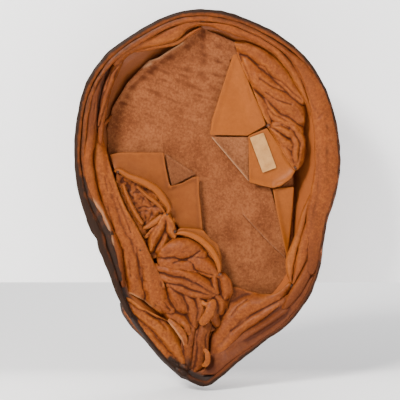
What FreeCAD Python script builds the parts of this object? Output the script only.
"""Hooded leather wall mask: a formed face in a draped hood, seen and used from both sides.

Row frame: the rim lies in the XZ plane, +Z is up, the face looks along +Y and the hollow back opens
along -Y. The origin is where the hanging nail bears, under the rolled crown. All sizes are millimetres.
Every folded-over layer of hide is a solid of its own, a little clear of its neighbours.
"""
import FreeCAD, Part
import math
import os

os.makedirs("parts", exist_ok=True)

# Driving dimensions
HIDE = 2.4  # thickness of the hood and face hide
SHEET = 1.6  # thickness of the backing sheets and folded flaps
PAPER = 0.3
HEM_WIDTH = 5.0  # the turned edge that rests on the wall
HEM_DEPTH = 3.2
LAYER_GAP = 0.4  # clearance between two layers of hide
CENTRE_X = 7.0  # middle of the hood, which the rim's insets run towards
CENTRE_Z = -150.0
FACE_CENTRE = (7.0, -142.0)
FACE_OPENING = (64.0, 90.0)  # half width and half height of the opening in the hood
WEDGE_REACH = 400.0
WEDGE_DEPTH = 60.0

# Depth of each layer: y of the side nearer the wall
BACKING_Y = 34.0
OVERLAP_Y = 32.0
FOLDED_CORNER_Y = 30.4
SIDE_STRIP_Y = 29.6
UPPER_FLAP_Y = 28.4
LEFT_FLAP_Y = 26.6
LABEL_FLAP_Y = 26.0
LOWER_FLAP_Y = 22.0
PAPER_Y = LABEL_FLAP_Y - 0.1 - PAPER

# Rim of the hood, from the crown and round by the right (+X) side, as (x, z)
RIM = [
    (5, 17), (35, 13), (65, 1), (90, -15), (112, -38), (128, -68), (137, -103), (139, -143),
    (133, -180), (123, -214), (119, -242), (104, -272), (82, -297), (40, -325), (22, -347),
    (3, -359), (-12, -349), (-46, -326), (-66, -301), (-80, -278), (-88, -258), (-98, -234),
    (-110, -206), (-120, -177), (-125, -140), (-123, -105), (-112, -62), (-82, -25), (-50, -1), (-20, 14),
]

# Sections of the hood from the wall side to the front: (inset from the rim, y)
HOOD_SECTIONS = [
    (0.0, HEM_DEPTH + LAYER_GAP), (0.5, 18.0), (5.0, 38.0), (18.0, 56.0), (36.0, 67.0), (50.0, 71.0)]

# Sections of the face from the hood's opening to its crown: (half width, half height, y)
FACE_SECTIONS = [(70.0, 96.0, 44.0), (69.0, 95.0, 54.0), (62.0, 88.0, 66.0), (47.0, 72.0, 78.0), (20.0, 36.0, 85.0)]
NOSE_SECTIONS = [(9.0, 30.0, 78.0), (11.0, 24.0, 90.0), (8.0, 12.0, 102.0)]
NOSE_DROP = 10.0  # the nose sits this far below the middle of the face

# Rolls and pleats that follow the rim: start and end angle from the crown, insets, depths
RIM_PIECES = {
    "rim_hem": (-143.0, 184.0, 0.0, HEM_WIDTH, 0.0, HEM_DEPTH),
    "top_roll": (-46.0, 32.0, 5.6, 11.4, 1.0, 9.0),
    "top_inner_roll": (-38.0, 31.5, 12.0, 16.7, 6.0, 17.0),
    "right_band": (33.0, 118.0, 5.6, 26.0, 1.6, 11.0),
    "left_outer_pleat": (-132.0, -47.0, 5.6, 11.6, 3.0, 15.0),
    "left_mid_pleat": (-128.0, -43.0, 12.4, 18.0, 7.0, 22.0),
    "left_inner_pleat": (-78.0, -40.0, 18.8, 25.0, 10.0, 27.0),
}

# Flat layers: y of the wall side, then the outline as (x, z)
SHEETS = {
    "backing_sheet": (BACKING_Y, [
        (-50, -35), (-18, -19), (0, -2), (36, -15), (62, -43), (85, -83), (95, -133), (96, -188),
        (92, -255), (65, -272), (28, -263), (-10, -243), (-50, -213), (-82, -173), (-94, -130),
        (-95, -103), (-89, -81), (-74, -57)]),
    "backing_overlap": (OVERLAP_Y, [(43, -187), (52, -159), (72, -163), (85, -208), (87, -233)]),
    "upper_right_flap": (UPPER_FLAP_Y, [
        (35, -19), (10, -109), (49, -109), (66, -99), (60, -81), (50, -58), (41, -33)]),
    "right_corner_fold": (FOLDED_CORNER_Y, [(12, -112), (49, -112), (49, -156)]),
    "label_flap": (LABEL_FLAP_Y, [(50, -110), (50, -157), (76, -162), (97, -145), (68, -102)]),
    "side_strip": (SIDE_STRIP_Y, [(74, -163), (97, -161), (92, -213), (89, -235)]),
    "left_flap": (LEFT_FLAP_Y, [
        (-91, -129), (-36, -127), (-29, -161), (-1, -151), (0, -183), (3, -209), (-22, -200),
        (-31, -187), (-38, -170), (-58, -154), (-81, -144)]),
    "left_corner_fold": (FOLDED_CORNER_Y, [(-35, -129), (-2, -151), (-28, -160)]),
    "lower_left_flap": (LOWER_FLAP_Y, [
        (-22, -206), (2, -211), (12, -223), (21, -223), (21, -244), (8, -234), (-7, -219)]),
}

# Gathers and drapes: y of the wall side, y of the far side, rounding at both sides, outline as (x, z)
GATHERS = {
    "left_pocket": (19.0, 31.0, 0.16, [
        (-79, -149), (-60, -158), (-41, -174), (-35, -189), (-42, -209), (-50, -213), (-63, -196), (-74, -173)]),
    "mid_gather": (17.0, 30.0, 0.16, [
        (-47, -221), (-38, -212), (-32, -193), (-26, -203), (-25, -212), (-36, -225)]),
    "pillow_gather": (11.0, 31.0, 0.14, [
        (-38, -229), (-23, -216), (-7, -221), (8, -237), (19, -249), (17, -259), (-6, -254), (-28, -243)]),
    "chin_knot": (6.0, 31.0, 0.12, [
        (-50, -238), (-30, -246), (-5, -257), (16, -264), (31, -275), (25, -291), (4, -299), (-18, -291), (-38, -273)]),
    "bottom_drape": (3.6, 14.0, 0.06, [
        (-74, -279), (-50, -283), (-24, -294), (-17, -320), (-22, -337), (-44, -321), (-61, -301)]),
    "bottom_turnover": (4.5, 17.0, 0.1, [(-22, -296), (-13, -297), (-10, -304), (-15, -318)]),
    "knot_strip": (1.0, 5.4, 0.1, [(4, -280), (14, -273), (26, -276), (27, -288), (20, -297), (7, -295)]),
    "tail_left": (4.0, 16.0, 0.1, [(-10, -322), (-4, -303), (0, -318), (-1, -343), (-5, -347), (-8, -338)]),
    "tail_right": (6.0, 18.0, 0.12, [(3, -304), (19, -300), (28, -310), (19, -331), (8, -344), (3, -328)]),
    "tail_curl": (0.6, 5.4, 0.14, [(2, -326), (9, -323), (13, -334), (7, -345), (1, -338)]),
    "left_long_fold": (11.0, 30.0, 0.08, [
        (-92, -136), (-84, -150), (-68, -199), (-54, -220), (-57, -232), (-43, -271), (-60, -272), (-75, -251),
        (-84, -222), (-92, -188), (-96, -155)]),
    "right_long_fold_outer": (5.6, 18.0, 0.05, [
        (119, -221), (110, -256), (84, -289), (58, -308), (36, -321), (20, -341), (10, -349), (22, -332),
        (54, -301), (84, -276), (100, -252), (111, -220)]),
    "right_long_fold_inner": (12.0, 31.0, 0.08, [
        (97, -252), (84, -275), (53, -299), (32, -313), (28, -302), (34, -288), (34, -270), (64, -279), (90, -262)]),
    "upper_right_gather": (19.0, 31.0, 0.1, [
        (43, -18), (62, -31), (82, -52), (95, -78), (101, -96), (85, -100), (71, -97), (66, -81), (56, -57), (47, -31)]),
    "right_gather_lobes": (19.0, 31.0, 0.1, [
        (72, -103), (85, -104), (103, -99), (106, -118), (103, -140), (99, -141), (86, -122)]),
}

# Single-point stitches: x, z, y of the surface that they lie on, direction of the bar in degrees
STITCHES = [
    (68, -99, 24.8, 40), (96, -143, 24.8, -50), (-80, -146, 17.4, 30), (-34, -189, 17.4, 70),
    (-24, -203, 15.2, 60), (20, -247, 9.6, 40), (91, -259, 10.2, 60),
]
STITCH_RADIUS = 0.7
STITCH_LENGTH = 7.0

LABEL_CENTRE = (64.0, -127.0)
LABEL_SIZE = (15.0, 38.0)
LABEL_TURN = 20.5
KNOB_CENTRE = (-16.0, 8.0, -349.0)
KNOB_RADII = (6.0, 6.0, 7.0)


def vector(x, y, z):
    return FreeCAD.Vector(x, y, z)


def rim_wire(inset, y):
    """Smooth closed wire: the rim moved in by the inset towards the middle of the hood."""
    points = []
    for x, z in RIM:
        reach = math.hypot(x - CENTRE_X, z - CENTRE_Z)
        share = 1.0 - inset / reach
        points.append(vector(CENTRE_X + (x - CENTRE_X) * share, y, CENTRE_Z + (z - CENTRE_Z) * share))
    curve = Part.BSplineCurve()
    curve.interpolate(Points=points, PeriodicFlag=True)
    return Part.Wire([curve.toShape()])


def ellipse_wire(centre, half_width, half_height, y):
    """Ellipse in the plane at y; its longer half axis is the height."""
    curve = Part.Ellipse(vector(centre[0], y, centre[1] + half_height),
                         vector(centre[0] + half_width, y, centre[1]),
                         vector(centre[0], y, centre[1]))
    return Part.Wire([curve.toShape()])


def polygon_wire(outline, y, scale=1.0):
    """Closed polygon at y, shrunk about its own middle."""
    middle_x = sum(x for x, _ in outline) / len(outline)
    middle_z = sum(z for _, z in outline) / len(outline)
    corners = [vector(middle_x + (x - middle_x) * scale, y, middle_z + (z - middle_z) * scale) for x, z in outline]
    return Part.makePolygon(corners + corners[:1])


def plate(outline, y, thickness):
    """Flat layer of the given outline, its wall side at y."""
    return Part.Face(polygon_wire(outline, y)).extrude(vector(0, thickness, 0))


def gather(outline, y_back, y_front, rounding):
    """Padded heap of leather: widest a third of the way in, drawn in at both sides."""
    depth = y_front - y_back
    wires = [
        polygon_wire(outline, y_back, 1.0 - 2.0 * rounding),
        polygon_wire(outline, y_back + 0.3 * depth),
        polygon_wire(outline, y_back + 0.8 * depth),
        polygon_wire(outline, y_front, 1.0 - rounding),
    ]
    return Part.makeLoft(wires, True, True)


def wedge(start, end):
    """Prism about the middle of the hood that keeps the angles from start to end, clockwise from the crown."""
    steps = max(2, math.ceil((end - start) / 60.0))
    corners = [vector(CENTRE_X, -WEDGE_DEPTH, CENTRE_Z)]
    for step in range(steps + 1):
        angle = math.radians(start + (end - start) * step / steps)
        corners.append(vector(CENTRE_X + WEDGE_REACH * math.sin(angle), -WEDGE_DEPTH,
                              CENTRE_Z + WEDGE_REACH * math.cos(angle)))
    return Part.Face(Part.makePolygon(corners + corners[:1])).extrude(vector(0, 2 * WEDGE_DEPTH, 0))


def rim_piece(start, end, outer, inner, y_back, y_front):
    """Length of roll or pleat that follows the rim between two insets."""
    whole = Part.makeLoft([rim_wire(outer, y_back), rim_wire(outer, y_front)], True, True)
    middle = Part.makeLoft([rim_wire(inner, y_back - 1.0), rim_wire(inner, y_front + 1.0)], True, True)
    return whole.cut(middle).common(wedge(start, end))


def hood_hide():
    """Bowl of hide from the rim to the front, with the oval opening that the face fills."""
    outer = Part.makeLoft([rim_wire(inset, y) for inset, y in HOOD_SECTIONS], True, False)
    inner_wires = [rim_wire(inset + HIDE, y) for inset, y in HOOD_SECTIONS[:-1]]
    last_inset, last_y = HOOD_SECTIONS[-1]
    inner_wires.append(rim_wire(last_inset + HIDE, last_y - HIDE))
    inner = Part.makeLoft(inner_wires, True, False)
    opening = Part.Face(ellipse_wire(FACE_CENTRE, *FACE_OPENING, 0.0)).extrude(vector(0, 100.0, 0))
    return outer.cut(inner).cut(opening)


def face_hide():
    """Formed face: a hollow dome with a nose, its edge tucked behind the hood's opening."""
    outer_wires = [ellipse_wire(FACE_CENTRE, w, h, y) for w, h, y in FACE_SECTIONS]
    inner_wires = [ellipse_wire(FACE_CENTRE, w - HIDE, h - HIDE, y - HIDE) for w, h, y in FACE_SECTIONS]
    nose_centre = (FACE_CENTRE[0], FACE_CENTRE[1] - NOSE_DROP)
    nose_wires = [ellipse_wire(nose_centre, w, h, y) for w, h, y in NOSE_SECTIONS]
    outer = Part.makeLoft(outer_wires, True, True)
    nose = Part.makeLoft(nose_wires, True, True)
    return outer.fuse(nose).cut(Part.makeLoft(inner_wires, True, True))


def stitch(x, z, y, degrees):
    """Short bar of waxed thread with rounded ends."""
    turn = math.radians(degrees)
    along = vector(math.cos(turn), 0, math.sin(turn))
    start = vector(x, y, z) - along * (STITCH_LENGTH / 2)
    bar = Part.makeCylinder(STITCH_RADIUS, STITCH_LENGTH, start, along)
    for end in (start, start + along * STITCH_LENGTH):
        bar = bar.fuse(Part.makeSphere(STITCH_RADIUS, end))
    return bar.removeSplitter()


def paper_label():
    """Blank paper rectangle, turned on its flap."""
    width, height = LABEL_SIZE
    turn = math.radians(LABEL_TURN)
    corners = []
    for across, up in ((-1, -1), (1, -1), (1, 1), (-1, 1)):
        dx = across * width / 2
        dz = up * height / 2
        corners.append((LABEL_CENTRE[0] + dx * math.cos(turn) - dz * math.sin(turn),
                        LABEL_CENTRE[1] + dx * math.sin(turn) + dz * math.cos(turn)))
    return plate(corners, PAPER_Y, PAPER)


def knob(clearance):
    """Ellipsoid lump at the tip, grown by the clearance."""
    stretch = FreeCAD.Matrix()
    stretch.scale(*[radius + clearance for radius in KNOB_RADII])
    stretch.move(vector(*KNOB_CENTRE))
    return Part.makeSphere(1.0).transformGeometry(stretch)


nodes = {name: rim_piece(*values) for name, values in RIM_PIECES.items()}
nodes.update({name: plate(outline, y, SHEET) for name, (y, outline) in SHEETS.items()})
nodes.update({name: gather(outline, back, front, rounding)
              for name, (back, front, rounding, outline) in GATHERS.items()})
nodes["hood_hide"] = hood_hide().cut(knob(LAYER_GAP))
nodes["face_hide"] = face_hide()
nodes["paper_label"] = paper_label()
nodes["tip_knob"] = knob(0.0)
nodes["thread_ties"] = Part.makeCompound([stitch(*values) for values in STITCHES])

for name, shape in nodes.items():
    shape.exportStep(f"parts/{name}.step")
    print(name, shape.isValid(), len(shape.Solids), round(shape.Volume), shape.BoundBox)
